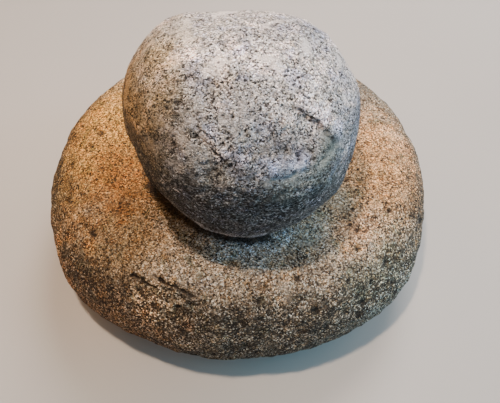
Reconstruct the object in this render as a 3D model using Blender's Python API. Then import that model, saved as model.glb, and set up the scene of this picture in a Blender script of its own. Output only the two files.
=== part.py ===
"""Saddle quern: a thick round granite stone with a worn dish in its top, and the handstone resting in it.

Units are metres, and Z is up. The origin is on the ground, under the middle of the lower stone, and the
front is towards -Y. The stones only touch: nothing joins them.
"""

import math

import bmesh
import bpy
from mathutils import Vector
from mathutils.bvhtree import BVHTree

# Lower stone: a bun-edged disc, flat underneath.
WIDTH = 0.290
DEPTH = 0.271
HEIGHT = 0.090
PLAN_SQUARENESS = 2.14  # exponent of the outline seen from above: 2 is an ellipse
BELLY_HEIGHT = 0.040  # where the side stands out furthest
UNDERCUT = 0.053  # how far the side draws in from the belly down to the foot
SHOULDER = 0.044  # how far it draws in from the belly up to the rim
DISH_WIDTH = 0.204
DISH_LENGTH = 0.208
DISH_DEPTH = 0.007
DISH_Y = -0.012  # the dish is worn deepest a little to the front
SPOKES = 84
UNDERCUT_STEPS = 8
SHOULDER_STEPS = 9
TOP_STEPS = 9

# Its broad irregularities: azimuth in degrees, then the radius and height of the middle, the depth and the
# spread, all in metres. A negative depth is a swelling.
LOWER_FORMS = {
    "left front swell": (217, 0.141, 0.034, -0.0028, 0.030),
    "right front swell": (323, 0.141, 0.034, -0.0028, 0.030),
    "left front flat": (240, 0.137, 0.030, 0.0018, 0.026),
    "right flat": (343, 0.143, 0.036, 0.0018, 0.026),
    "back left flat": (132, 0.138, 0.044, 0.0040, 0.036),
    "back right flat": (42, 0.139, 0.040, 0.0030, 0.040),
    "spalled shoulder": (250, 0.124, 0.076, 0.0035, 0.018),
    "front spall": (281, 0.129, 0.068, 0.0020, 0.020),
    "left rim dip": (197, 0.120, 0.086, 0.0020, 0.022),
    "right shoulder dip": (322, 0.124, 0.079, 0.0025, 0.026),
    "back rim dip": (72, 0.106, 0.088, 0.0025, 0.030),
}

# Handstone: a lump with broad facets worn on it, each a direction and a distance from its middle.
# (azimuth and elevation in degrees, distance in metres)
FACETS = {
    "crown": (86, 71, 0.0608),
    "back crown": (91, 37, 0.0578),
    "back": (90, -12, 0.0672),
    "left shoulder": (156, 25, 0.0697),
    "right shoulder": (28, 29, 0.0660),
    "left side": (193, -2, 0.0659),
    "right side": (349, -1, 0.0680),
    "left toe": (209, -25, 0.0634),
    "right toe": (303, -18, 0.0677),
    "toe": (255, -34, 0.0726),
    "left foot": (238, -10, 0.0665),
    "front": (268, -2, 0.0652),
    "front brow": (281, 61, 0.0643),
    "left brow": (194, 49, 0.0717),
    "right brow": (336, 50, 0.0710),
    "left front": (220, 11, 0.0680),
    "right front": (320, 23, 0.0703),
    "left heel": (140, -30, 0.0682),
    "right heel": (40, -30, 0.0682),
    "grinding face": (270, -83, 0.0710),
}
FACET_SHARPNESS = 11.0  # exponent that blends the facets: the higher, the crisper their edges
CORNER_RADIUS = 0.074  # how far the corners between facets may stand out
HANDSTONE_DETAIL = 5  # subdivisions of the sphere that the lump starts from
HANDSTONE_X = 0.0035
HANDSTONE_Y = -0.030

# Its flake scars and dips: azimuth and elevation in degrees, depth and spread in metres.
HANDSTONE_FORMS = {
    "flake scar, inner end": (282, 36, 0.0014, 0.011),
    "flake scar, outer end": (303, 34, 0.0020, 0.012),
    "brow hollow": (262, 28, 0.0012, 0.010),
    "crown dip": (150, 70, 0.0012, 0.014),
    "back flake": (75, 5, 0.0025, 0.018),
}

STONE_GAP = 0.0003  # left between the handstone and the dish
FAR_ABOVE = 0.5


def clear_scene():
    for thing in list(bpy.data.objects):
        bpy.data.objects.remove(thing, do_unlink=True)


def granite(name, colour, roughness):
    material = bpy.data.materials.new(name)
    material.use_nodes = True
    shader = material.node_tree.nodes["Principled BSDF"]
    shader.inputs["Base Color"].default_value = (*colour, 1.0)
    shader.inputs["Roughness"].default_value = roughness
    shader.inputs["Metallic"].default_value = 0.0
    return material


def finish(shape, name, material, place):
    """Makes the bmesh a smooth-shaded object of its own, and returns it."""
    mesh = bpy.data.meshes.new(name)
    shape.to_mesh(mesh)
    shape.free()
    mesh.shade_smooth()
    mesh.materials.append(material)
    made = bpy.data.objects.new(name, mesh)
    made.location = place
    bpy.context.collection.objects.link(made)
    return made


def plan_radius(azimuth):
    """Half-width of the lower stone's outline from above, a superellipse."""
    along_x = abs(math.cos(azimuth) / (WIDTH / 2)) ** PLAN_SQUARENESS
    along_y = abs(math.sin(azimuth) / (DEPTH / 2)) ** PLAN_SQUARENESS
    return (along_x + along_y) ** (-1 / PLAN_SQUARENESS)


def lower_profile():
    """Half of the lower stone's section, as (radius, height), from the foot's edge to the top's middle."""
    belly = WIDTH / 2
    points = []
    for step in range(UNDERCUT_STEPS + 1):
        turn = math.pi / 2 * step / UNDERCUT_STEPS
        points.append((belly - UNDERCUT * (1 - math.sin(turn)), BELLY_HEIGHT * (1 - math.cos(turn))))
    for step in range(1, SHOULDER_STEPS + 1):
        turn = math.pi / 2 * step / SHOULDER_STEPS
        rise = (HEIGHT - BELLY_HEIGHT) * math.sin(turn)
        points.append((belly - SHOULDER * (1 - math.cos(turn)), BELLY_HEIGHT + rise))
    rim = belly - SHOULDER
    for step in range(1, TOP_STEPS + 1):
        points.append((rim * (1 - step / TOP_STEPS), HEIGHT))
    return points


def dish_sink(place):
    """How far the worn dish lies below the flat top at a place."""
    reach = math.hypot(place.x / (DISH_WIDTH / 2), (place.y - DISH_Y) / (DISH_LENGTH / 2))
    return DISH_DEPTH * (1 - min(1.0, reach) ** 2) ** 2


def press(shape, forms):
    """Sinks each form, as (middle, depth, spread), into the surface round its middle."""
    bmesh.ops.recalc_face_normals(shape, faces=shape.faces)
    for vert in shape.verts:
        push = 0.0
        for middle, depth, spread in forms:
            push += depth * math.exp(-(((vert.co - middle).length / spread) ** 2))
        vert.co -= vert.normal * push


def lower_forms():
    forms = []
    for azimuth, radius, height, depth, spread in LOWER_FORMS.values():
        turn = math.radians(azimuth)
        forms.append((Vector((radius * math.cos(turn), radius * math.sin(turn), height)), depth, spread))
    return forms


def lower_stone():
    shape = bmesh.new()
    profile = [shape.verts.new((radius, 0, height)) for radius, height in lower_profile()]
    edges = [shape.edges.new(pair) for pair in zip(profile, profile[1:])]
    bmesh.ops.spin(
        shape,
        geom=profile + edges,
        cent=(0, 0, 0),
        axis=(0, 0, 1),
        angle=math.tau,
        steps=SPOKES,
        use_merge=True,
    )
    bmesh.ops.remove_doubles(shape, verts=shape.verts, dist=STONE_GAP)
    bmesh.ops.holes_fill(shape, edges=shape.edges)
    foot = [vert for vert in shape.verts if vert.co.z < STONE_GAP]
    for vert in shape.verts:
        narrowing = plan_radius(math.atan2(vert.co.y, vert.co.x)) / (WIDTH / 2)
        vert.co.x *= narrowing
        vert.co.y *= narrowing
        if vert.co.z > BELLY_HEIGHT:
            vert.co.z -= dish_sink(vert.co)
    press(shape, lower_forms())
    for vert in foot:
        vert.co.z = 0
    return finish(shape, "lower_stone", granite("tan_granite", (0.42, 0.27, 0.14), 0.9), (0, 0, 0))


def direction_to(azimuth, elevation):
    turn = math.radians(azimuth)
    lift = math.radians(elevation)
    level = math.cos(lift)
    return Vector((level * math.cos(turn), level * math.sin(turn), math.sin(lift)))


def facet_planes():
    """Each facet's outward direction, divided by its distance."""
    return [direction_to(azimuth, elevation) / distance for azimuth, elevation, distance in FACETS.values()]


def facet_radius(direction, planes):
    """How far the worn lump reaches in a direction: the nearest facet's plane, blended with the others."""
    total = CORNER_RADIUS**-FACET_SHARPNESS
    for plane in planes:
        total += max(0.0, direction.dot(plane)) ** FACET_SHARPNESS
    return total ** (-1 / FACET_SHARPNESS)


def handstone_forms(planes):
    forms = []
    for azimuth, elevation, depth, spread in HANDSTONE_FORMS.values():
        direction = direction_to(azimuth, elevation)
        forms.append((direction * facet_radius(direction, planes), depth, spread))
    return forms


def handstone():
    shape = bmesh.new()
    bmesh.ops.create_icosphere(shape, subdivisions=HANDSTONE_DETAIL, radius=1)
    planes = facet_planes()
    for vert in shape.verts:
        direction = vert.co.normalized()
        vert.co = direction * facet_radius(direction, planes)
    press(shape, handstone_forms(planes))
    place = (HANDSTONE_X, HANDSTONE_Y, FAR_ABOVE)
    return finish(shape, "handstone", granite("grey_granite", (0.46, 0.43, 0.40), 0.85), place)


def surface(thing):
    """A search tree over an object's faces, where the object stands."""
    corners = [thing.location + vert.co for vert in thing.data.vertices]
    return BVHTree.FromPolygons(corners, [tuple(face.vertices) for face in thing.data.polygons]), corners


def rest_on(upper, lower):
    """Lowers one stone straight down until it is a gap above the other."""
    upper_faces, upper_corners = surface(upper)
    lower_faces, lower_corners = surface(lower)
    down = Vector((0, 0, -1))
    falls = [lower_faces.ray_cast(corner, down)[3] for corner in upper_corners]
    falls += [upper_faces.ray_cast(corner, -down)[3] for corner in lower_corners]
    upper.location.z -= min(fall for fall in falls if fall is not None) - STONE_GAP


clear_scene()
quern = lower_stone()
rubber = handstone()
rest_on(rubber, quern)
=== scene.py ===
"""Looks of the saddle quern: the grain, stains, scars and chips of its two granite stones, on a pale floor.

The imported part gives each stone's form and place. Each is copied, meshed finely, given its relief, and
shown in place of its plain solid. Units are metres and Z is up; the front is towards -Y. Azimuths and
elevations are in degrees, and everything else is in metres, unless a comment says otherwise.
"""

import math

import bmesh
import bpy
import numpy as np
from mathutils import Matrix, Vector
from mathutils import noise as perlin
from mathutils.bvhtree import BVHTree


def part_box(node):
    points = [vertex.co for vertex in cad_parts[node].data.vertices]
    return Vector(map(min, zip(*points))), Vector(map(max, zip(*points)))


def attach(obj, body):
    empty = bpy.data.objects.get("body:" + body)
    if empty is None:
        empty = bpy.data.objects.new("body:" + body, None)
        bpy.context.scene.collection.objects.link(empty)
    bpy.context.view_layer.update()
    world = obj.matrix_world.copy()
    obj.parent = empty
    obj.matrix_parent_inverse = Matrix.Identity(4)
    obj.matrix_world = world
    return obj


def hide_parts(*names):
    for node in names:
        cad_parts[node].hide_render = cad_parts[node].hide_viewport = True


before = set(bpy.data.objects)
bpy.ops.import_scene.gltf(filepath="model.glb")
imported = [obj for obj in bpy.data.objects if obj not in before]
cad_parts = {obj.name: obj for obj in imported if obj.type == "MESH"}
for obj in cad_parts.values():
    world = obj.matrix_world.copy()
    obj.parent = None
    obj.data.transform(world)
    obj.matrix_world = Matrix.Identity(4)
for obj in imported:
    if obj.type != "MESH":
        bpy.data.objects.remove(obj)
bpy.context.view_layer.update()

# Camera: where the lens stands, how far it looks down, and its focal length.
CAMERA_PLACE = (0.0087, -0.2077, 0.3505)
CAMERA_PITCH = 58.14
CLIP_START = 0.01
IMAGE_WIDTH = 500
FOCAL_PIXELS = 460
SENSOR = 36.0

# Surroundings: their colour, and their strength as a light and as seen behind the floor.
SKY_COLOUR = (0.74, 0.88, 1.0)
SKY_LIGHT = 0.02
SKY_SEEN = 0.10

# Floor: its width, how closely its shades follow each other, and the shades between which it wanders.
FLOOR_SIZE = 6.0
FLOOR_CLOUDS = 3.0
FLOOR_SHADES = [(0.3, (0.37, 0.345, 0.325)), (0.7, (0.40, 0.375, 0.355))]
FLOOR_ROUGHNESS = 0.75

# Lights, all aimed at one point: place, size, power in watts, and colour.
LIGHT_TARGET = (0, 0, 0.08)
LIGHTS = {
    "key": ((-0.06, -0.08, 0.60), 0.035, 4.3, (1.0, 0.77, 0.58)),
    "window": ((0.43, 1.22, 1.43), 0.9, 49.0, (1.0, 0.93, 0.89)),
    "right": ((1.4, -0.15, 0.55), 1.2, 18.0, (0.37, 0.76, 1.0)),
    "high right": ((1.1, 0.2, 1.1), 1.2, 3.9, (0.40, 0.75, 1.0)),
    "back right": ((1.2, 0.8, 0.7), 1.2, 16.0, (1.0, 0.74, 0.62)),
    "back left": ((-1.0, 1.0, 0.9), 1.0, 9.4, (1.0, 0.56, 0.20)),
    "left": ((-1.3, -0.1, 0.7), 0.9, 4.2, (1.0, 0.48, 0.16)),
    "front": ((0.3, -0.6, 1.4), 1.4, 5.4, (0.54, 0.84, 1.0)),
}

# Mesh of the stones: the width of a cell, and how often its facets are smoothed.
LOWER_CELL = 0.00164
HANDSTONE_CELL = 0.00098
LOWER_SMOOTHING = 24
HANDSTONE_SMOOTHING = 13
WELD = 1e-6

# Where the mesh is finer: azimuth and radius on the lower stone, azimuth and elevation on the handstone,
# and how far round that point.
LOWER_FINER = [(244, 0.115, 0.022), (332, 0.103, 0.017)]
HANDSTONE_FINER = [(263, 43, 0.0165)]

# Unevenness of the lower stone: the size of the lumps, a shift that makes each layer its own, their depth in
# the dish, and how much deeper they get outside it.
LOWER_LUMPS = [(0.022, 3.0, 0.0008, 0.0), (0.009, 7.0, 0.0002, 0.0008), (0.0042, 11.0, 0.00015, 0.00045)]
DISH_Y = -0.012
DISH_RADIUS = 0.1
DISH_LOWEST = 0.08

# Unevenness of the handstone: size, shift and depth.
HANDSTONE_LUMPS = [(0.016, 5.0, 0.0009), (0.006, 9.0, 0.0005), (0.0026, 13.0, 0.00038)]

# How ragged the edges of cuts are: the size of the waves, and how far they reach.
LOWER_RAGGED = (0.004, 0.0012)
HANDSTONE_RAGGED = (0.0035, 0.0009)
CRACK_RAGGED = (0.0022, 0.0010)
RAGGED_SHIFTS = (21.0, 34.0, 47.0)

# Small pits all over: how many, the seed, their least and greatest half-width, half-width over depth,
# darkening.
LOWER_PITS = (260, 5, (0.0014, 0.0042), 4.5, 0.9)
HANDSTONE_PITS = (170, 8, (0.0008, 0.0020), 3.5, 0.55)
UNDERNEATH = -0.9  # a surface that faces further down than this has none

# Darkening of the placed hollows: the most, and the half-width that makes it 1. Wider hollows darken less.
LOWER_HOLLOW_DARKENING = (0.8, 0.0018)
HANDSTONE_HOLLOW_DARKENING = (1.6, 0.002)

# Hollows broken out of the lower stone: azimuth in degrees, then radius, height, half-width and depth.
LOWER_SCOOPS = {
    "spall by the crack": (248, 0.1185, 0.079, 0.0120, 0.0008),
    "second spall": (256, 0.1215, 0.076, 0.0100, 0.0012),
    "crack pit": (245.5, 0.1102, 0.0862, 0.0026, 0.0013),
    "crack end pit": (234, 0.1232, 0.0804, 0.0026, 0.0010),
    "crack middle pit": (239.3, 0.1152, 0.0848, 0.0022, 0.0011),
    "front hollow": (253, 0.1226, 0.0736, 0.0052, 0.0014),
    "front side flat": (270, 0.1330, 0.055, 0.0150, 0.0010),
    "front right flat": (295, 0.1310, 0.060, 0.0130, 0.0009),
    "left spot": (186, 0.1191, 0.0845, 0.0030, 0.0007),
    "left shoulder spot": (199, 0.1226, 0.0817, 0.0036, 0.0009),
    "left shoulder dip": (210, 0.1200, 0.0840, 0.0120, 0.0008),
    "lower edge chip": (251, 0.1290, 0.0180, 0.0060, 0.0014),
    "lower edge notch": (254, 0.1300, 0.0150, 0.0035, 0.0012),
    "back shoulder spall": (75, 0.1180, 0.0790, 0.0140, 0.0013),
    "back side chip": (118, 0.1330, 0.0500, 0.0110, 0.0011),
    "right side chip": (12, 0.1430, 0.0380, 0.0100, 0.0010),
    "left side chip": (170, 0.1430, 0.0420, 0.0120, 0.0011),
}

# The crack in its rim, as two lines that overlap: azimuth and radius of their points.
CRACKS = [
    [(236, 0.1162), (238, 0.1152), (240, 0.1151), (242, 0.1153), (244, 0.1154), (246, 0.1160)],
    [(243, 0.1095), (245, 0.1100), (247, 0.1103), (249, 0.1105), (252, 0.1109), (254, 0.1115), (257, 0.1125)],
]

# The crevice under the handstone's left front, where a contact shadow is painted onto the dish: azimuth
# and radius of its points.
CREVICE = [
    (209, 0.0640),
    (216, 0.0625),
    (233, 0.0627),
    (251, 0.0659),
    (265, 0.0679),
    (277, 0.0705),
    (283, 0.0712),
]

# Small dark pits on the right of the dish: azimuth, radius and half-width.
DISH_PITS = [
    (333, 0.0941, 0.0016),
    (333, 0.1142, 0.0019),
    (328, 0.1068, 0.0014),
    (335, 0.1107, 0.0012),
    (331, 0.1010, 0.0011),
    (319, 0.0974, 0.0014),
    (340, 0.0800, 0.0022),
]

# Hollows of the handstone: azimuth and elevation in degrees, half-width and depth in metres.
HANDSTONE_SCOOPS = {
    "scar floor": (285, 39, 0.0170, 0.0016),
    "scar floor, right": (303, 36, 0.0120, 0.0014),
    "brow hollow": (257, 29, 0.0080, 0.0012),
    "large pit": (249, 42, 0.0016, 0.0014),
    "brow pit": (266, 51, 0.0012, 0.0011),
    "crown pit": (204, 75, 0.0014, 0.0010),
    "pit 1": (270, 45, 0.0010, 0.0008),
    "pit 2": (264, 43, 0.0011, 0.0009),
    "pit 3": (262, 41, 0.0009, 0.0007),
    "pit 4": (274, 44, 0.0009, 0.0008),
    "pit 5": (266, 40, 0.0009, 0.0007),
    "scar pit 1": (285, 48, 0.0009, 0.0008),
    "scar pit 2": (300, 41, 0.0011, 0.0008),
    "lip pit": (298, 30, 0.0011, 0.0008),
    "left flank flake": (200, 5, 0.0130, 0.0009),
    "crown flake": (20, 72, 0.0110, 0.0008),
    "back flake": (80, 20, 0.0150, 0.0012),
    "right flank flake": (20, 0, 0.0120, 0.0009),
}

# Ridges stand up along a path: (azimuth and elevation of its points), half-width, height.
RIDGES = [
    ([(251, 45.5), (255, 42.5), (260, 39.5), (266, 35.5)], 0.0024, 0.0008),
    ([(270, 34), (276, 32), (283, 30.5), (290, 29.5), (299, 28.5), (305, 28)], 0.0046, 0.0007),
    ([(205, 45), (222, 52), (240, 55)], 0.0050, 0.0005),
]

# Scarps drop away on the right of their path, and run out over the length given: the azimuth and elevation
# of its points, length, drop, and the darkness of the shade painted at the foot.
SCARPS = [
    (
        [(294, 53), (301, 52), (306, 50), (309, 47), (312, 43), (315, 39), (317, 34), (319, 29), (320, 24)],
        0.0070,
        0.0023,
        0.9,
    ),
    ([(248, 44), (252, 42), (256, 40), (260, 38), (265, 34), (269, 32)], 0.0035, 0.0013, 0.5),
    ([(215, 58), (225, 60), (240, 63), (262, 62), (280, 64)], 0.0080, 0.0006, 0.0),
    ([(60, 40), (80, 44), (110, 42)], 0.0090, 0.0009, 0.3),
]

# Where the flank turns under to the grinding face, a painted highlight of light thrown up from the dish: the
# painted shade is left off there. Azimuth and elevation.
PAINTED_LIT_EDGE = [(229, -4), (235, -12), (241, -18), (248, -24), (255, -27), (262, -27), (272, -28), (283, -28)]

# Section of the cracks, and the depth at which one is quite dark.
CRACK_WIDTH = 0.0010
CRACK_DEPTH = 0.0020
CRACK_DARK = 0.0007

# Section of the dish's pits: half-width over depth, and their darkening.
DISH_PIT_FLATNESS = 2.2
DISH_PIT_DARKENING = 1.4

# Contact shadow painted in the crevice: half-width and strength.
CREVICE_WIDTH = 0.0080
CREVICE_PAINTED_SHADOW = 1.8

# A scarp: the width of its face, and how its drop fades towards its ends. Then the half-width of the shade
# painted at its foot.
SCARP_FACE = 0.0010
SCARP_FADE = 0.7
SCARP_SHADE_WIDTH = 0.0012

PAINTED_LIT_EDGE_WIDTH = 0.0030
GROUND_FADE = 0.006  # the relief of the lower stone runs out below this height

# Patchiness of lines: size, shift, mean, swing, and the least that is left.
CRACK_PATCHES = (0.0045, 17.0, 0.8, 1.6, 0.12)
SCARP_PATCHES = (0.004, 23.0, 0.6, 1.5, 0.0)
PAINTED_LIT_EDGE_PATCHES = (0.006, 19.0, 0.9, 1.2, 0.2)

# Looks of the two granites. A ramp is a list of (position, colour). A veil is (size of its patches, shift,
# noise where it starts, noise where it is full, strength, tint), and a mottle is (size, start, end, tint).
# The shade is painted shade: a darker mix of grains laid on steep and undercut faces, none where the surface
# looks up by more than shade_to, the vertical part of its normal, and all of it below shade_from. The mottle
# darkens that painted shade in patches.
HANDSTONE_LOOK = {
    "grain": 0.00069,
    "minerals": [
        (0.00, (0.016, 0.015, 0.016)),
        (0.17, (0.075, 0.072, 0.073)),
        (0.36, (0.37, 0.355, 0.355)),
        (0.65, (0.58, 0.56, 0.565)),
        (1.00, (1.00, 0.970, 0.990)),
    ],
    "tints": [(0.0, (0.94, 1.00, 1.06)), (0.5, (1.0, 1.0, 1.0)), (1.0, (1.05, 0.98, 0.88))],
    "fine": [(0.0, (0.50,) * 3), (1.0, (1.50,) * 3)],
    "gap": 0.74,
    "veils": [
        (0.0024, 9.7, 0.50, 0.72, 0.6, (0.74, 0.74, 0.74)),
        (0.0045, 11.3, 0.50, 0.68, 0.9, (0.62, 0.63, 0.65)),
        (0.028, 1.3, 0.47, 0.60, 0.9, (1.22, 1.19, 1.17)),
        (0.011, 2.7, 0.50, 0.62, 1.0, (1.42, 1.32, 1.30)),
        (0.016, 4.1, 0.47, 0.62, 0.9, (0.62, 0.64, 0.67)),
        (0.006, 5.9, 0.50, 0.68, 0.9, (0.60, 0.60, 0.60)),
        (0.009, 7.3, 0.54, 0.66, 0.6, (0.90, 0.83, 0.68)),
        (0.010, 8.9, 0.50, 0.64, 0.9, (0.86, 0.91, 1.10)),
    ],
    "worn_size": 0.013,
    "worn_share": 0.72,
    "worn": (0.76, 0.71, 0.70),
    "speck_size": 0.0010,
    "crowd_size": 0.008,
    "crowding": 1.1,
    "speck_from": 1.52,
    "speck": (0.14, 0.13, 0.14),
    # Painted shade on steep and undercut faces: its darker mix of grains, its mottle, and where it lies.
    "shade": [
        (0.0, (0.10,) * 3),
        (0.35, (0.13,) * 3),
        (0.62, (0.24,) * 3),
        (0.85, (0.42, 0.43, 0.44)),
        (1.0, (0.84, 0.88, 0.92)),
    ],
    "mottle": (0.0065, 0.48, 0.64, (0.45, 0.45, 0.46)),
    "shade_from": -0.06,
    "shade_to": 0.60,
    "hollow": (0.07, 0.065, 0.07),
    "bump": 0.00110,
}
LOWER_LOOK = {
    "grain": 0.00074,
    "minerals": [
        (0.00, (0.015, 0.010, 0.007)),
        (0.16, (0.082, 0.056, 0.036)),
        (0.40, (0.225, 0.170, 0.120)),
        (0.68, (0.385, 0.306, 0.224)),
        (1.00, (0.845, 0.750, 0.615)),
    ],
    "tints": [(0.0, (0.86, 1.00, 1.16)), (0.5, (1.0, 1.0, 1.0)), (1.0, (1.13, 0.93, 0.68))],
    "fine": [(0.0, (0.60,) * 3), (1.0, (1.40,) * 3)],
    "gap": 0.75,
    "veils": [
        (0.0026, 9.7, 0.50, 0.72, 0.7, (0.66, 0.65, 0.64)),
        (0.030, 1.9, 0.47, 0.62, 0.8, (1.22, 1.18, 1.15)),
        (0.012, 3.1, 0.50, 0.66, 0.9, (0.60, 0.59, 0.58)),
        (0.008, 4.7, 0.54, 0.68, 0.9, (1.08, 0.88, 0.62)),
        (0.009, 6.1, 0.54, 0.68, 0.9, (0.60, 0.70, 0.66)),
        (0.007, 7.9, 0.54, 0.70, 0.8, (1.15, 1.20, 1.26)),
    ],
    "worn_size": 0.009,
    "worn_share": 0.25,
    "worn": (0.50, 0.42, 0.34),
    "speck_size": 0.0012,
    "crowd_size": 0.007,
    "crowding": 0.9,
    "speck_from": 1.34,
    "speck": (0.16, 0.14, 0.13),
    # Painted shade on steep and undercut faces: its darker mix of grains, its mottle, and where it lies.
    "shade": [
        (0.0, (0.08,) * 3),
        (0.35, (0.16,) * 3),
        (0.6, (0.31,) * 3),
        (0.85, (0.54, 0.55, 0.56)),
        (1.0, (1.00, 1.03, 1.05)),
    ],
    "mottle": (0.0085, 0.49, 0.60, (0.36, 0.36, 0.36)),
    "shade_from": 0.62,
    "shade_to": 1.0,
    "hollow": (0.13, 0.11, 0.10),
    "bump": 0.00085,
}
# Stains of the handstone, and light and shade painted as stains (marked below): azimuth, elevation, radius,
# softness, strength and tint.
HANDSTONE_STAINS_AND_PAINTED_LIGHT = [
    # Partly a brown stain, partly painted shade and warm light on the left flank.
    (200, 12, 0.062, 0.6, 1.0, (0.53, 0.375, 0.187)),
    (234, 68, 0.011, 0.7, 0.9, (1.36, 1.30, 1.28)),
    (208, 66, 0.010, 0.7, 0.9, (1.36, 1.30, 1.28)),
    (255, 76, 0.010, 0.7, 0.9, (1.36, 1.30, 1.28)),
    (203, 42, 0.036, 0.5, 0.9, (0.88, 0.78, 0.56)),
    (175, 58, 0.032, 0.8, 0.8, (0.80, 0.76, 0.66)),
    (150, 20, 0.055, 0.9, 0.8, (0.80, 0.64, 0.42)),
    (245, 44, 0.034, 0.6, 0.9, (0.62, 0.60, 0.57)),
    (5, 58, 0.024, 0.8, 0.8, (0.66, 0.72, 0.78)),
    (330, 72, 0.026, 0.8, 0.8, (1.24, 1.22, 1.22)),
    (294, 47, 0.013, 0.7, 0.9, (1.38, 1.32, 1.28)),
    (310, 42, 0.009, 0.7, 0.9, (1.30, 1.26, 1.22)),
    (274, 33, 0.013, 0.7, 0.9, (0.60, 0.59, 0.59)),
    (290, 34, 0.014, 0.7, 0.9, (0.50, 0.50, 0.51)),
    (303, 30, 0.011, 0.7, 0.9, (0.58, 0.60, 0.62)),
    (313, 33, 0.009, 0.7, 0.7, (0.70, 0.74, 0.74)),
    (312, 26, 0.012, 0.7, 0.9, (0.56, 0.62, 0.61)),
    (317, 30, 0.009, 0.7, 0.9, (0.54, 0.59, 0.58)),
    # Painted shade on the front slope below the crown.
    (277, 53, 0.030, 0.8, 0.7, (0.90, 0.90, 0.93)),
    (262, 28, 0.012, 0.7, 0.6, (0.72, 0.68, 0.60)),
    (290, 18, 0.020, 0.7, 0.8, (0.66, 0.74, 0.68)),
    (312, 18, 0.020, 0.7, 0.8, (0.62, 0.74, 0.72)),
    (256, 42.5, 0.006, 0.7, 0.9, (1.60, 1.48, 1.46)),
    (262, 38.5, 0.006, 0.7, 0.9, (1.60, 1.48, 1.46)),
    # Painted highlights, bluish, along the lip below the scar.
    (281, 31, 0.007, 0.6, 1.0, (1.10, 1.18, 1.45)),
    (289, 29.5, 0.008, 0.6, 1.0, (1.12, 1.22, 1.52)),
    (298, 29, 0.007, 0.6, 1.0, (1.10, 1.20, 1.50)),
    # Painted highlights along the crest of the scar.
    (313, 48, 0.0075, 0.6, 1.0, (1.50, 1.48, 1.60)),
    (319, 41, 0.0075, 0.6, 1.0, (1.50, 1.50, 1.66)),
    (324, 31, 0.007, 0.6, 0.9, (1.20, 1.28, 1.50)),
    (340, 20, 0.035, 0.9, 0.8, (0.90, 0.97, 1.10)),
    # Painted shade, cool, on the lower front flank.
    (262, 16, 0.062, 0.8, 0.9, (0.70, 0.79, 0.86)),
]

# Stains of the lower stone, and light and shade painted as stains (marked below): on its upper side by
# azimuth and radius or on its flank by azimuth and elevation, then radius, softness, strength and tint.
LOWER_STAINS_AND_PAINTED_LIGHT = [
    # Partly an orange stain, partly painted warm light on the left of the upper side.
    ("top", 175, 0.100, 0.105, 0.8, 1.0, (1.30, 0.86, 0.32)),
    ("top", 222, 0.110, 0.052, 0.7, 1.0, (0.68, 0.58, 0.42)),
    ("top", 200, 0.082, 0.045, 0.8, 0.9, (0.56, 0.46, 0.32)),
    # Painted light on the back-left rim.
    ("top", 150, 0.100, 0.055, 0.8, 0.9, (1.26, 1.30, 1.16)),
    ("top", 192, 0.128, 0.040, 0.8, 0.8, (0.74, 0.78, 0.70)),
    # The next two: painted warm light on the left flank, lifting its painted shade.
    ("side", 207, -6, 0.052, 0.7, 0.9, (1.90, 1.34, 0.74)),
    ("side", 234, -8, 0.072, 0.8, 0.9, (1.45, 0.92, 0.52)),
    ("side", 268, -14, 0.060, 0.8, 0.9, (1.14, 1.18, 1.14)),
    ("top", 350, 0.098, 0.078, 0.8, 0.9, (1.49, 1.03, 0.62)),
    ("top", 90, 0.095, 0.090, 0.8, 0.9, (1.30, 0.94, 0.62)),
    ("top", 316, 0.102, 0.026, 0.8, 0.8, (1.18, 0.98, 0.84)),
    ("top", 308, 0.126, 0.018, 0.5, 0.9, (0.72, 0.78, 0.76)),
    ("top", 320, 0.130, 0.018, 0.5, 0.9, (0.72, 0.78, 0.76)),
    # Painted cool light on the right front flank, lifting its painted shade.
    ("side", 320, 3, 0.060, 0.7, 0.9, (1.42, 1.58, 1.64)),
    # The next three are painted shadow: the bluish cast shadow of the handstone on the dish, darker at its
    # right.
    ("top", 275, 0.062, 0.038, 0.8, 1.0, (1.46, 1.98, 2.90)),
    ("top", 305, 0.082, 0.024, 0.8, 1.0, (1.05, 1.30, 1.50)),
    ("top", 324, 0.077, 0.023, 0.5, 1.0, (0.66, 0.84, 1.00)),
    ("top", 219, 0.121, 0.008, 0.8, 0.9, (1.60, 1.25, 0.75)),
    ("top", 260, 0.105, 0.007, 0.8, 0.9, (1.20, 1.28, 1.45)),
    ("top", 258, 0.112, 0.012, 0.7, 0.8, (0.68, 0.66, 0.64)),
    ("top", 274, 0.115, 0.018, 0.7, 0.8, (0.66, 0.62, 0.58)),
    # Painted light from the right on the far right edge, lifting its painted shade.
    ("side", 5, 8, 0.058, 0.8, 0.9, (1.60, 1.50, 1.44)),
    # The next three lift the painted shade: on the left rim, around the spall by the crack, and on the left
    # rim.
    ("top", 207, 0.132, 0.024, 0.7, 0.9, (1.50, 1.36, 1.14)),
    ("top", 246, 0.122, 0.020, 0.6, 1.0, (1.95, 1.80, 1.55)),
    ("top", 163, 0.130, 0.022, 0.8, 0.9, (1.36, 1.26, 1.10)),
    ("top", 253, 0.125, 0.009, 0.8, 0.6, (0.56, 0.58, 0.56)),
    ("top", 268, 0.125, 0.008, 0.8, 0.6, (0.60, 0.62, 0.60)),
    ("top", 257, 0.127, 0.007, 0.8, 0.8, (1.10, 0.72, 0.48)),
]

# Both granites: how far the grains' outlines wander, in grains, and over how many.
WANDER = 0.8
WANDER_SCALE = 0.9
FINE_SCALE = 2.1  # finer grains to one grain
GAP_EDGE = (0.35, 0.85)
PATCH_DETAIL = 4.0
PATCH_ROUGHNESS = 0.65
WORN_EDGE_NOISE = (0.52, 0.66)
RAGGED_SIZE = 0.012
BLOTCH_RAGGED = 1.1
MOTTLE_STRENGTH = 0.9
MOTTLE_ROUGHNESS = 0.7
SPECK_EDGE = 0.08

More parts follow.
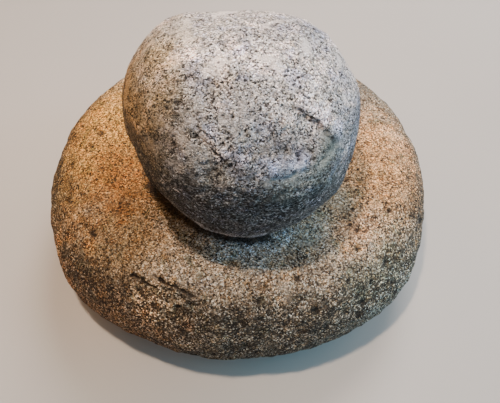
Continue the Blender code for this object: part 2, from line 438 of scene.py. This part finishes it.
# Which way a face looks, which sets where shade is painted on it: shares of the stone's own slope,
# of the slope with its relief, and of ragged noise.
SLOPE_SHARE = 0.6
RELIEF_SHARE = 0.4
RAGGED_SHARE = 0.7

# Grit of the surface: how far the grains stand up as domes and steps, and the size of the noise on them, in
# grains. Then the roughness from grain to grain, and the gloss.
DOMES = -0.8
STEPS = 0.6
GRIT_SIZE = 2.5
GRIT_ROUGHNESS = 0.75
SHINE = [(0.0, (0.55,) * 3), (0.15, (0.82,) * 3), (1.0, (0.95,) * 3)]
SPECULAR = 0.35

FAR_OFF = 0.5  # rays towards the stones start from here

MIDDLES = {}
TREES = {}


def direction_to(azimuth, elevation):
    turn, lift = math.radians(azimuth), math.radians(elevation)
    return Vector((math.cos(lift) * math.cos(turn), math.cos(lift) * math.sin(turn), math.sin(lift)))


def spot(node, azimuth, elevation):
    """The point on a stone that lies in that direction from its middle."""
    way = direction_to(azimuth, elevation)
    return TREES[node].ray_cast(MIDDLES[node] + way * FAR_OFF, -way)[0]


def top_spot(azimuth, radius):
    """The point on the lower stone's upper side at that azimuth and radius."""
    turn = math.radians(azimuth)
    start = Vector((radius * math.cos(turn), radius * math.sin(turn), FAR_OFF))
    return TREES["lower_stone"].ray_cast(start, Vector((0, 0, -1)))[0]


def divided(mesh, middle, radius):
    """Cuts the mesh's faces near a point into finer ones."""
    shape = bmesh.new()
    shape.from_mesh(mesh)
    close = [edge for edge in shape.edges if all((vert.co - middle).length < radius for vert in edge.verts)]
    bmesh.ops.subdivide_edges(shape, edges=close, cuts=2, use_grid_fill=True)
    bmesh.ops.triangulate(shape, faces=[face for face in shape.faces if len(face.verts) > 4])
    shape.to_mesh(mesh)
    shape.free()


def fine_copy(node, name, cell, smoothing):
    """A finely meshed copy of a CAD node, with the solid's facets smoothed away."""
    shape = bmesh.new()
    shape.from_mesh(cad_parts[node].data)
    bmesh.ops.remove_doubles(shape, verts=shape.verts, dist=WELD)
    mesh = bpy.data.meshes.new(name)
    shape.to_mesh(mesh)
    shape.free()
    piece = bpy.data.objects.new(name, mesh)
    bpy.context.scene.collection.objects.link(piece)
    remesh = piece.modifiers.new("remesh", "REMESH")
    remesh.mode = "VOXEL"
    remesh.voxel_size = cell
    smooth = piece.modifiers.new("smooth", "SMOOTH")
    smooth.factor = 0.5
    smooth.iterations = smoothing
    bpy.context.view_layer.update()
    graph = bpy.context.evaluated_depsgraph_get()
    piece.data = bpy.data.meshes.new_from_object(piece.evaluated_get(graph))
    piece.modifiers.clear()
    piece.data.name = name
    piece.data.shade_smooth()
    low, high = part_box(node)
    MIDDLES[node] = (low + high) / 2
    TREES[node] = BVHTree.FromPolygons(
        [vert.co for vert in piece.data.vertices], [tuple(face.vertices) for face in piece.data.polygons]
    )
    return piece


def noise_layer(places, size, shift):
    """Smooth noise from -1 to 1 at each place, in lumps of about that size."""
    moved = places / size + shift
    return np.array([perlin.noise(Vector(place)) for place in moved])


def patchy(places, size, shift, mean, swing, least):
    """A share up to 1 at each place, that comes and goes in patches."""
    return np.clip(mean + swing * noise_layer(places, size, shift), least, 1.0)


def shaken(places, size, amount):
    """The places moved about by smooth noise, so that what is cut there gets a ragged edge."""
    return places + amount * np.stack([noise_layer(places, size, shift) for shift in RAGGED_SHIFTS], axis=1)


def scoop(places, middle, outward, width, depth):
    """How far each place lies inside a shallow round scoop, taken out of the surface at its middle."""
    reach = (width**2 + depth**2) / (2 * depth)
    centre = np.array(middle + outward * (reach - depth))
    return np.clip(reach - np.linalg.norm(places - centre, axis=1), 0, None)


def beside(places, start, end):
    """Of each place and one stretch of a path: how far off it is, and how far along, from 0 to 1."""
    start, step = np.array(start), np.array(end - start)
    along = np.clip((places - start) @ step / (step @ step), 0, 1)
    return np.linalg.norm(places - start - along[:, None] * step, axis=1), along


def groove(places, path, width, depth):
    """How deep a groove along the path is at each place."""
    nearest = np.full(len(places), 1.0)
    for start, end in zip(path, path[1:]):
        nearest = np.minimum(nearest, beside(places, start, end)[0])
    return depth * np.clip(1 - (nearest / width) ** 2, 0, None)


def scarp(places, path, middle, length, drop):
    """How deep a scarp leaves each place: a sharp drop on the right of the path, running out further off."""
    nearest = np.full(len(places), 1.0)
    side = np.zeros(len(places))
    progress = np.zeros(len(places))
    for index, (start, end) in enumerate(zip(path, path[1:])):
        away, along = beside(places, start, end)
        right = np.cross(np.array(end - start), np.array(start) - np.array(middle))
        right /= np.linalg.norm(right)
        closer = away < nearest
        nearest[closer] = away[closer]
        side[closer] = ((places - np.array(start)) @ right)[closer]
        progress[closer] = (index + along[closer]) / (len(path) - 1)
    inside = np.clip(side / SCARP_FACE, 0, 1)
    taper = np.sin(math.pi * progress) ** SCARP_FADE
    return drop * inside * taper * np.exp(-np.clip(side, 0, None) / length)


def scattered(node, count, seed, widths, flatness, darkening):
    """Seeded pits over a whole stone, as (middle, outward, width, depth, darkening)."""
    chance = np.random.default_rng(seed)
    pits = []
    for _ in range(count):
        way = Vector(chance.normal(size=3)).normalized()
        width = chance.uniform(*widths)
        point, outward = TREES[node].ray_cast(MIDDLES[node] + way * FAR_OFF, -way)[:2]
        if point is not None and outward.z > UNDERNEATH:
            pits.append((point, outward, width, width / flatness, darkening))
    return pits


def lower_scoops():
    """The placed hollows of the lower stone, as (middle, outward, width, depth, darkening)."""
    most, full = LOWER_HOLLOW_DARKENING
    pits = []
    for azimuth, radius, height, width, depth in LOWER_SCOOPS.values():
        turn = math.radians(azimuth)
        place = Vector((radius * math.cos(turn), radius * math.sin(turn), height))
        point, outward = TREES["lower_stone"].find_nearest(place)[:2]
        pits.append((point, outward, width, depth, min(most, full / width)))
    return pits


def handstone_scoops():
    """The placed hollows of the handstone, as (middle, outward, width, depth, darkening)."""
    most, full = HANDSTONE_HOLLOW_DARKENING
    pits = []
    for azimuth, elevation, width, depth in HANDSTONE_SCOOPS.values():
        point = spot("handstone", azimuth, elevation)
        outward = TREES["handstone"].find_nearest(point)[1]
        pits.append((point, outward, width, depth, min(most, full / width)))
    return pits


def dish_pits():
    """The pits in the dish, as (middle, outward, width, depth, darkening)."""
    up = Vector((0, 0, 1))
    return [
        (top_spot(azimuth, radius), up, width, width / DISH_PIT_FLATNESS, DISH_PIT_DARKENING)
        for azimuth, radius, width in DISH_PITS
    ]


def cut_pits(places, pits, sink, hollow):
    """Adds the pits' depth to the sink, and their darkening to the hollow."""
    for middle, outward, width, depth, darkening in pits:
        cut = scoop(places, middle, outward, width, depth)
        sink += cut
        hollow += darkening * cut / depth


def relief(piece, sink):
    """Moves each vertex inwards by sink(places), and keeps its darkening, painted lit edge and slope for the
    material.
    """
    mesh = piece.data
    count = len(mesh.vertices)
    places = np.empty(count * 3)
    normals = np.empty(count * 3)
    mesh.vertices.foreach_get("co", places)
    mesh.vertex_normals.foreach_get("vector", normals)
    places = places.reshape(-1, 3)
    normals = normals.reshape(-1, 3)
    depth, hollow, worn = sink(places)
    mesh.vertices.foreach_set("co", (places - normals * depth[:, None]).ravel())
    for name, values in (("hollow", hollow), ("worn", worn), ("slope", normals[:, 2])):
        kept = mesh.attributes.new(name, "FLOAT", "POINT")
        kept.data.foreach_set("value", np.clip(values, -1, 1).astype(np.float32))
    mesh.update()


def lower_sink(places):
    """How far the lower stone's surface sinks at each place, its darkening, and its painted lit edge, which
    is none.
    """
    ragged = shaken(places, *LOWER_RAGGED)
    rough = np.clip(np.hypot(places[:, 0], places[:, 1] - DISH_Y) / DISH_RADIUS, 0, 1) ** 2
    rough[places[:, 2] < DISH_LOWEST] = 1
    sink = np.zeros(len(places))
    hollow = np.zeros(len(places))
    for size, shift, depth, more in LOWER_LUMPS:
        sink += (depth + more * rough) * noise_layer(places, size, shift)
    cut_pits(ragged, lower_scoops() + scattered("lower_stone", *LOWER_PITS), sink, hollow)
    jagged = shaken(places, *CRACK_RAGGED)
    for line in CRACKS:
        crack = groove(jagged, [top_spot(*place) for place in line], CRACK_WIDTH, CRACK_DEPTH)
        crack *= patchy(places, *CRACK_PATCHES)
        sink += crack
        hollow += crack / CRACK_DARK
    cut_pits(ragged, dish_pits(), sink, hollow)
    # A contact shadow painted into the crevice under the handstone's front.
    hollow += groove(places, [top_spot(*place) for place in CREVICE], CREVICE_WIDTH, CREVICE_PAINTED_SHADOW)
    ground = np.clip(places[:, 2] / GROUND_FADE, 0, 1)
    return sink * ground, hollow, np.zeros(len(places))


def handstone_sink(places):
    """How far the handstone's surface sinks at each place, its darkening, and its painted lit edge."""
    ragged = shaken(places, *HANDSTONE_RAGGED)
    sink = np.zeros(len(places))
    hollow = np.zeros(len(places))
    for size, shift, depth in HANDSTONE_LUMPS:
        sink += depth * noise_layer(places, size, shift)
    cut_pits(ragged, handstone_scoops() + scattered("handstone", *HANDSTONE_PITS), sink, hollow)
    for path, width, height in RIDGES:
        sink -= groove(ragged, [spot("handstone", *place) for place in path], width, height)
    for path, length, drop, darkening in SCARPS:
        points = [spot("handstone", *place) for place in path]
        sink += scarp(ragged, points, MIDDLES["handstone"], length, drop)
        # Shade painted along the foot of each scarp.
        foot = groove(ragged, points[2:-1], SCARP_SHADE_WIDTH, 1.0) * patchy(places, *SCARP_PATCHES)
        hollow += darkening * foot
    # A painted highlight along the lower edge, from light thrown up by the dish: it keeps the painted shade
    # off.
    edge = groove(ragged, [spot("handstone", *place) for place in PAINTED_LIT_EDGE], PAINTED_LIT_EDGE_WIDTH, 1.0)
    return sink, hollow, edge * patchy(places, *PAINTED_LIT_EDGE_PATCHES)


def put(tree, socket, value):
    """Links a socket to another one, or sets it to a number or a colour."""
    if isinstance(value, bpy.types.NodeSocket):
        tree.links.new(value, socket)
    elif socket.type == "RGBA" and len(value) == 3:
        socket.default_value = (*value, 1.0)
    else:
        socket.default_value = value


def add(tree, kind, inputs=(), **settings):
    """Adds a shader node, sets it up, and fills its inputs with values or links."""
    made = tree.nodes.new("ShaderNode" + kind)
    for name, value in settings.items():
        setattr(made, name, value)
    for name, value in dict(inputs).items():
        put(tree, made.inputs[name], value)
    return made


def ramp(tree, factor, stops):
    made = add(tree, "ValToRGB", {"Fac": factor})
    elements = made.color_ramp.elements
    while len(elements) < len(stops):
        elements.new(1.0)
    for element, (position, colour) in zip(elements, stops):
        element.position = position
        element.color = (*colour, 1.0)
    return made.outputs["Color"]


def mix(tree, factor, first, second, blend="MIX"):
    made = add(tree, "Mix", data_type="RGBA", blend_type=blend)
    for index, value in ((0, factor), (6, first), (7, second)):
        put(tree, made.inputs[index], value)
    return made.outputs[2]


def times(tree, colour, factor):
    return mix(tree, 1.0, colour, factor, "MULTIPLY")


def arithmetic(tree, operation, first, second):
    return add(tree, "Math", {0: first, 1: second}, operation=operation).outputs[0]


def noise(tree, coords, size, detail=3.0, roughness=0.6):
    """Noise from about 0 to 1 in lumps of that size."""
    inputs = {"Vector": coords, "Scale": 1 / size, "Detail": detail, "Roughness": roughness}
    return add(tree, "TexNoise", inputs).outputs[0]


def spread(tree, value, low, high, start=0.0, end=1.0):
    """Maps low..high smoothly onto start..end."""
    inputs = {"Value": value, "From Min": low, "From Max": high, "To Min": start, "To Max": end}
    return add(tree, "MapRange", inputs, interpolation_type="SMOOTHSTEP").outputs["Result"]


def patch(tree, coords, ragged, middle, radius, softness):
    """1 within a blotch round the middle, falling to 0 at the radius, with a ragged edge."""
    away = add(tree, "VectorMath", {0: coords, 1: tuple(middle)}, operation="DISTANCE").outputs["Value"]
    waves = arithmetic(tree, "MULTIPLY", ragged, radius * softness * BLOTCH_RAGGED)
    away = arithmetic(tree, "ADD", away, waves)
    return spread(tree, away, radius, radius * (1 - softness))


def wandering(tree, coords, grain):
    """Coordinates that wander, so that the grains' outlines aren't straight."""
    wander = add(tree, "TexNoise", {"Vector": coords, "Scale": WANDER_SCALE / grain, "Detail": 1.0})
    wander = add(tree, "VectorMath", {0: wander.outputs["Color"], 1: (0.5, 0.5, 0.5)}, operation="SUBTRACT")
    wander = add(tree, "VectorMath", {0: wander.outputs[0], "Scale": grain * WANDER}, operation="SCALE")
    return add(tree, "VectorMath", {0: coords, 1: wander.outputs[0]}, operation="ADD").outputs[0]


def mineral_colour(tree, warped, crystals, kind, look):
    """The colours of the grains and of the gaps between them."""
    colour = ramp(tree, kind.outputs[0], look["minerals"])
    colour = times(tree, colour, ramp(tree, kind.outputs[1], look["tints"]))
    fine = add(tree, "TexVoronoi", {"Vector": warped, "Scale": FINE_SCALE / look["grain"]})
    fine_kind = add(tree, "SeparateColor", {"Color": fine.outputs["Color"]}).outputs[0]
    colour = times(tree, colour, ramp(tree, fine_kind, look["fine"]))
    gap = spread(tree, crystals.outputs["Distance"], *GAP_EDGE)
    return times(tree, colour, ramp(tree, gap, [(0.0, (1.0,) * 3), (1.0, (look["gap"],) * 3)]))


def weathered(tree, colour, coords, look):
    """Lays the veils and the worn patches over the grains."""
    for size, shift, start, end, strength, tint in look["veils"]:
        moved = add(tree, "VectorMath", {0: coords, 1: (shift, shift, shift)}, operation="ADD").outputs[0]
        patches = noise(tree, moved, size, PATCH_DETAIL, PATCH_ROUGHNESS)
        veil = spread(tree, patches, start, end, 0.0, strength)
        colour = mix(tree, veil, colour, times(tree, colour, tint))
    patches = noise(tree, coords, look["worn_size"], PATCH_DETAIL, PATCH_ROUGHNESS)
    worn = spread(tree, patches, *WORN_EDGE_NOISE, 0.0, look["worn_share"])
    return mix(tree, worn, colour, look["worn"])


def painted_shade_below(tree, colour, places, kind, ragged, look):
    """Paints shade on steep and undercut faces as a darker mix of grains, but not on the painted lit edge."""
    slope = add(tree, "Attribute", attribute_name="slope").outputs["Fac"]
    facing = add(tree, "SeparateXYZ", {"Vector": places.outputs["Normal"]}).outputs["Z"]
    slope = arithmetic(tree, "MULTIPLY", slope, SLOPE_SHARE)
    facing = arithmetic(tree, "ADD", slope, arithmetic(tree, "MULTIPLY", facing, RELIEF_SHARE))
    facing = arithmetic(tree, "ADD", facing, arithmetic(tree, "MULTIPLY", ragged, RAGGED_SHARE))
    low = spread(tree, facing, look["shade_to"], look["shade_from"])
    shaded = times(tree, colour, ramp(tree, kind.outputs[0], look["shade"]))
    size, start, end, tint = look["mottle"]
    patches = noise(tree, places.outputs["Object"], size, PATCH_DETAIL, MOTTLE_ROUGHNESS)
    mottle = spread(tree, patches, start, end, 0.0, MOTTLE_STRENGTH)
    shaded = mix(tree, mottle, shaded, times(tree, shaded, tint))
    # The painted lit edge along the handstone's lower edge is spared the painted shade.
    painted_lit_edge = add(tree, "Attribute", attribute_name="worn").outputs["Fac"]
    low = arithmetic(tree, "MULTIPLY", low, arithmetic(tree, "SUBTRACT", 1.0, painted_lit_edge))
    return mix(tree, low, colour, shaded)


def specked(tree, colour, coords, warped, look):
    """Lays dark specks over the colour, in crowds, and darkens the hollows, including the painted shadows."""
    specks = add(tree, "TexVoronoi", {"Vector": warped, "Scale": 1 / look["speck_size"]})
    chance = add(tree, "SeparateColor", {"Color": specks.outputs["Color"]}).outputs[1]
    crowd = noise(tree, coords, look["crowd_size"])
    chance = arithmetic(tree, "ADD", chance, arithmetic(tree, "MULTIPLY", crowd, look["crowding"]))
    dark = spread(tree, chance, look["speck_from"], look["speck_from"] + SPECK_EDGE)
    colour = mix(tree, dark, colour, times(tree, colour, look["speck"]))
    # The hollow attribute darkens the pits and cracks, and carries the shade painted in the crevice and at
    # the scarps' feet.
    hollow = add(tree, "Attribute", attribute_name="hollow").outputs["Fac"]
    return mix(tree, hollow, colour, times(tree, colour, look["hollow"]))


def gritty(tree, coords, crystals, kind, look):
    """The normal of a surface whose grains stand up as small domes and steps."""
    domes = arithmetic(tree, "MULTIPLY", crystals.outputs["Distance"], DOMES)
    steps = arithmetic(tree, "MULTIPLY", kind.outputs[2], STEPS)
    grit = noise(tree, coords, look["grain"] * GRIT_SIZE, PATCH_DETAIL, GRIT_ROUGHNESS)
    lumps = arithmetic(tree, "ADD", grit, arithmetic(tree, "ADD", domes, steps))
    return add(tree, "Bump", {"Height": lumps, "Distance": look["bump"], "Strength": 1.0}).outputs["Normal"]


def granite(name, look, stains_and_painted_light):
    """Weathered granite: grains of several minerals with gaps, veils, stains, specks, darkened hollows, and
    painted light and shade.
    """
    material = bpy.data.materials.new(name)
    material.use_nodes = True
    tree = material.node_tree
    shader = tree.nodes["Principled BSDF"]
    places = add(tree, "TexCoord")
    coords = places.outputs["Object"]
    warped = wandering(tree, coords, look["grain"])
    crystals = add(tree, "TexVoronoi", {"Vector": warped, "Scale": 1 / look["grain"]})
    kind = add(tree, "SeparateColor", {"Color": crystals.outputs["Color"]})
    patches = noise(tree, coords, RAGGED_SIZE, PATCH_DETAIL, PATCH_ROUGHNESS)
    ragged = arithmetic(tree, "SUBTRACT", patches, 0.5)

    colour = mineral_colour(tree, warped, crystals, kind, look)
    colour = weathered(tree, colour, coords, look)
    # Painted shade on the faces that turn away from the light.
    colour = painted_shade_below(tree, colour, places, kind, ragged, look)
    for middle, radius, softness, strength, tint in stains_and_painted_light:
        mask = arithmetic(tree, "MULTIPLY", patch(tree, coords, ragged, middle, radius, softness), strength)
        colour = mix(tree, mask, colour, times(tree, colour, tint))
    colour = specked(tree, colour, coords, warped, look)

    put(tree, shader.inputs["Base Color"], colour)
    put(tree, shader.inputs["Roughness"], ramp(tree, kind.outputs[1], SHINE))
    put(tree, shader.inputs["Specular IOR Level"], SPECULAR)
    put(tree, shader.inputs["Normal"], gritty(tree, coords, crystals, kind, look))
    return material


def lower_stains_and_painted_light():
    """The lower stone's stains and painted light and shade, with their middles as points on it."""
    stains_and_painted_light = []
    for part, azimuth, along, *rest in LOWER_STAINS_AND_PAINTED_LIGHT:
        middle = top_spot(azimuth, along) if part == "top" else spot("lower_stone", azimuth, along)
        stains_and_painted_light.append((middle, *rest))
    return stains_and_painted_light


def handstone_stains_and_painted_light():
    """The handstone's stains and painted light and shade, with their middles as points on it."""
    return [(spot("handstone", azimuth, elevation), *rest) for azimuth, elevation, *rest in HANDSTONE_STAINS_AND_PAINTED_LIGHT]


def show(piece, node, material):
    piece.data.materials.clear()
    piece.data.materials.append(material)
    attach(piece, "root")
    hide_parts(node)


def area_light(name, place, size, power, colour):
    lamp = bpy.data.lights.new(name, "AREA")
    lamp.shape = "DISK"
    lamp.size = size
    lamp.energy = power
    lamp.color = colour
    made = bpy.data.objects.new(name, lamp)
    made.location = place
    made.rotation_euler = (Vector(LIGHT_TARGET) - Vector(place)).to_track_quat("-Z", "Y").to_euler()
    bpy.context.scene.collection.objects.link(made)


def pale_floor():
    bpy.ops.mesh.primitive_plane_add(size=FLOOR_SIZE, location=(0, 0, 0))
    floor = bpy.context.object
    floor.name = "floor"
    material = bpy.data.materials.new("floor")
    material.use_nodes = True
    tree = material.node_tree
    shader = tree.nodes["Principled BSDF"]
    coords = add(tree, "TexCoord").outputs["Object"]
    cloud = add(tree, "TexNoise", {"Vector": coords, "Scale": FLOOR_CLOUDS, "Detail": 3.0}).outputs[0]
    put(tree, shader.inputs["Base Color"], ramp(tree, cloud, FLOOR_SHADES))
    put(tree, shader.inputs["Roughness"], FLOOR_ROUGHNESS)
    floor.data.materials.append(material)


def surroundings():
    world = bpy.data.worlds.new("studio")
    bpy.context.scene.world = world
    world.use_nodes = True
    tree = world.node_tree
    sky = tree.nodes["Background"]
    seen = add(tree, "LightPath").outputs["Is Camera Ray"]
    strength = add(tree, "MapRange", {"Value": seen, "To Min": SKY_LIGHT, "To Max": SKY_SEEN})
    put(tree, sky.inputs["Color"], SKY_COLOUR)
    put(tree, sky.inputs["Strength"], strength.outputs["Result"])


def camera():
    lens = bpy.data.cameras.new("camera")
    lens.sensor_width = SENSOR
    lens.lens = FOCAL_PIXELS / IMAGE_WIDTH * SENSOR
    lens.clip_start = CLIP_START
    made = bpy.data.objects.new("camera", lens)
    made.location = CAMERA_PLACE
    made.rotation_euler = (math.radians(90 - CAMERA_PITCH), 0, 0)
    bpy.context.scene.collection.objects.link(made)
    bpy.context.scene.camera = made


lower = fine_copy("lower_stone", "lower_stone_granite", LOWER_CELL, LOWER_SMOOTHING)
for azimuth, radius, reach in LOWER_FINER:
    divided(lower.data, top_spot(azimuth, radius), reach)
upper = fine_copy("handstone", "handstone_granite", HANDSTONE_CELL, HANDSTONE_SMOOTHING)
for azimuth, elevation, reach in HANDSTONE_FINER:
    divided(upper.data, spot("handstone", azimuth, elevation), reach)
relief(lower, lower_sink)
relief(upper, handstone_sink)
show(lower, "lower_stone", granite("lower stone granite", LOWER_LOOK, lower_stains_and_painted_light()))
show(upper, "handstone", granite("handstone granite", HANDSTONE_LOOK, handstone_stains_and_painted_light()))
pale_floor()
for name, (place, size, power, colour) in LIGHTS.items():
    area_light(name, place, size, power, colour)
surroundings()
camera()
